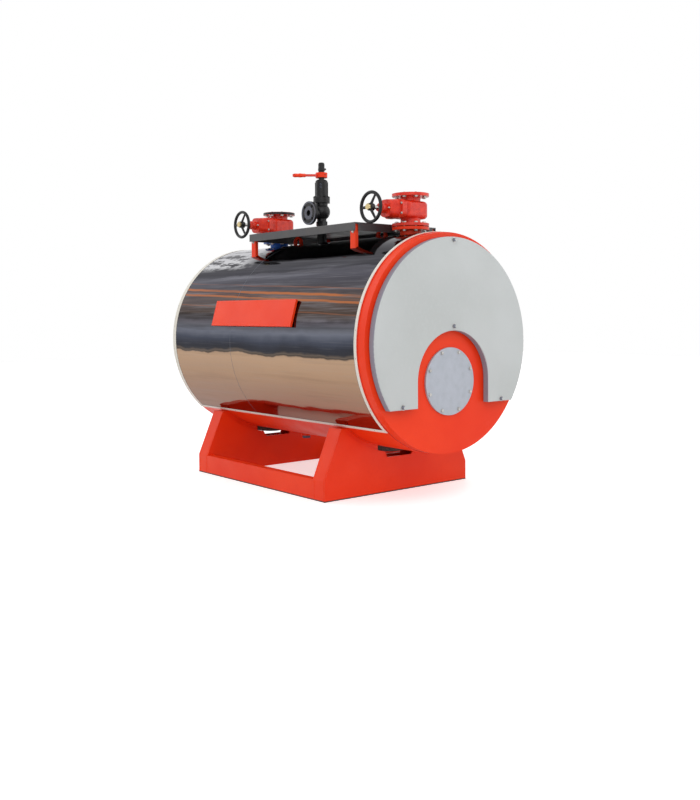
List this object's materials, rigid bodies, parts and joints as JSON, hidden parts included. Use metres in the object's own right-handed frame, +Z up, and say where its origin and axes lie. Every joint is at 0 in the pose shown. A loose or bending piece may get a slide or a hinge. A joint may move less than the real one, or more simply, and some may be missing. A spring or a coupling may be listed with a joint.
{
  "type": "industrial hot water boiler",
  "caption": "Horizontal fire-tube hot water boiler on a steel skid, with flanged gate valves, a safety valve and a small platform on top.",
  "frame": {"origin": "on the floor under the middle of the boiler's overall length and width", "axes": "+Y along the barrel from the burner end to the flue end, +Z up, +X to the right seen from the burner end"},
  "size_m": [1.1744, 2.136, 1.884],
  "materials": {
    "red_paint": "satin enamel",
    "casting_red": "gloss enamel over cast iron",
    "polished_steel": "mirror polished stainless sheet",
    "edging_white": "folded cream edging",
    "cover_gray": "matt light gray",
    "plate_gray": "satin blue gray",
    "rope_black": "rope seal",
    "deck_dark": "dark textured",
    "black_casting": "black enamel",
    "blue_paint": "gloss blue",
    "brass": "turned",
    "bare_steel": "turned",
    "mill_steel": "mill finish"
  },
  "bodies": {
    "boiler": {"pressure_shell": "mill_steel", "front_tube_plate": "mill_steel", "rear_tube_plate": "red_paint", "casing": "red_paint", "cladding": "polished_steel", "front_edging": "edging_white", "rear_edging": "edging_white", "right_edging": "edging_white", "left_edging": "edging_white", "front_drum": "red_paint", "front_gasket": "rope_black", "front_cover": "cover_gray", "burner_plate": "plate_gray", "rear_drum": "red_paint", "rear_gasket": "rope_black", "rear_cover": "cover_gray", "flue_collar": "red_paint", "drain_socket": "red_paint", "drain_plug": "mill_steel", "right_sill": "red_paint", "left_sill": "red_paint", "relief_branch": "black_casting", "relief_body": "black_casting", "spring_housing": "black_casting", "relief_cap": "black_casting", "front_lug": "red_paint", "rear_lug": "red_paint", "name_panel": "red_paint", "front_saddle_front_plate": "red_paint", "front_saddle_rear_plate": "red_paint", "front_saddle_right_strip": "red_paint", "front_saddle_left_strip": "red_paint", "rear_saddle_front_plate": "red_paint", "rear_saddle_rear_plate": "red_paint", "rear_saddle_right_strip": "red_paint", "rear_saddle_left_strip": "red_paint", "flow_branch": "red_paint", "flow_valve_body": "casting_red", "flow_valve_bonnet": "casting_red", "return_branch": "blue_paint", "return_valve_body": "casting_red", "return_valve_bonnet": "casting_red", "platform_deck": "deck_dark", "platform_right_rim": "deck_dark", "platform_left_rim": "deck_dark", "platform_front_rim": "deck_dark", "platform_rear_rim": "deck_dark", "front_right_leg": "red_paint", "front_left_leg": "red_paint", "rear_right_leg": "red_paint", "rear_left_leg": "red_paint"},
    "flow_wheel": {"flow_valve_stem": "bare_steel", "flow_handwheel": "black_casting", "flow_wheel_nut": "brass"},
    "return_wheel": {"return_valve_stem": "bare_steel", "return_handwheel": "black_casting", "return_wheel_nut": "brass"},
    "relief_lever_arm": {"relief_lever": "casting_red"}
  },
  "joints": [
    {"name": "flow_wheel_turn", "type": "hinge", "parent": "boiler", "child": "flow_wheel", "pos_m": [-0.282, -0.735, 1.53], "axis": [-1, 0, 0], "range_deg": [-5940, 0]},
    {"name": "return_wheel_turn", "type": "hinge", "parent": "boiler", "child": "return_wheel", "pos_m": [-0.282, 0.49, 1.53], "axis": [-1, 0, 0], "range_deg": [-5940, 0]},
    {"name": "relief_lever_lift", "type": "hinge", "parent": "boiler", "child": "relief_lever_arm", "pos_m": [0, 0.045, 1.808], "axis": [0, 1, 0], "range_deg": [0, 20]}
  ]
}
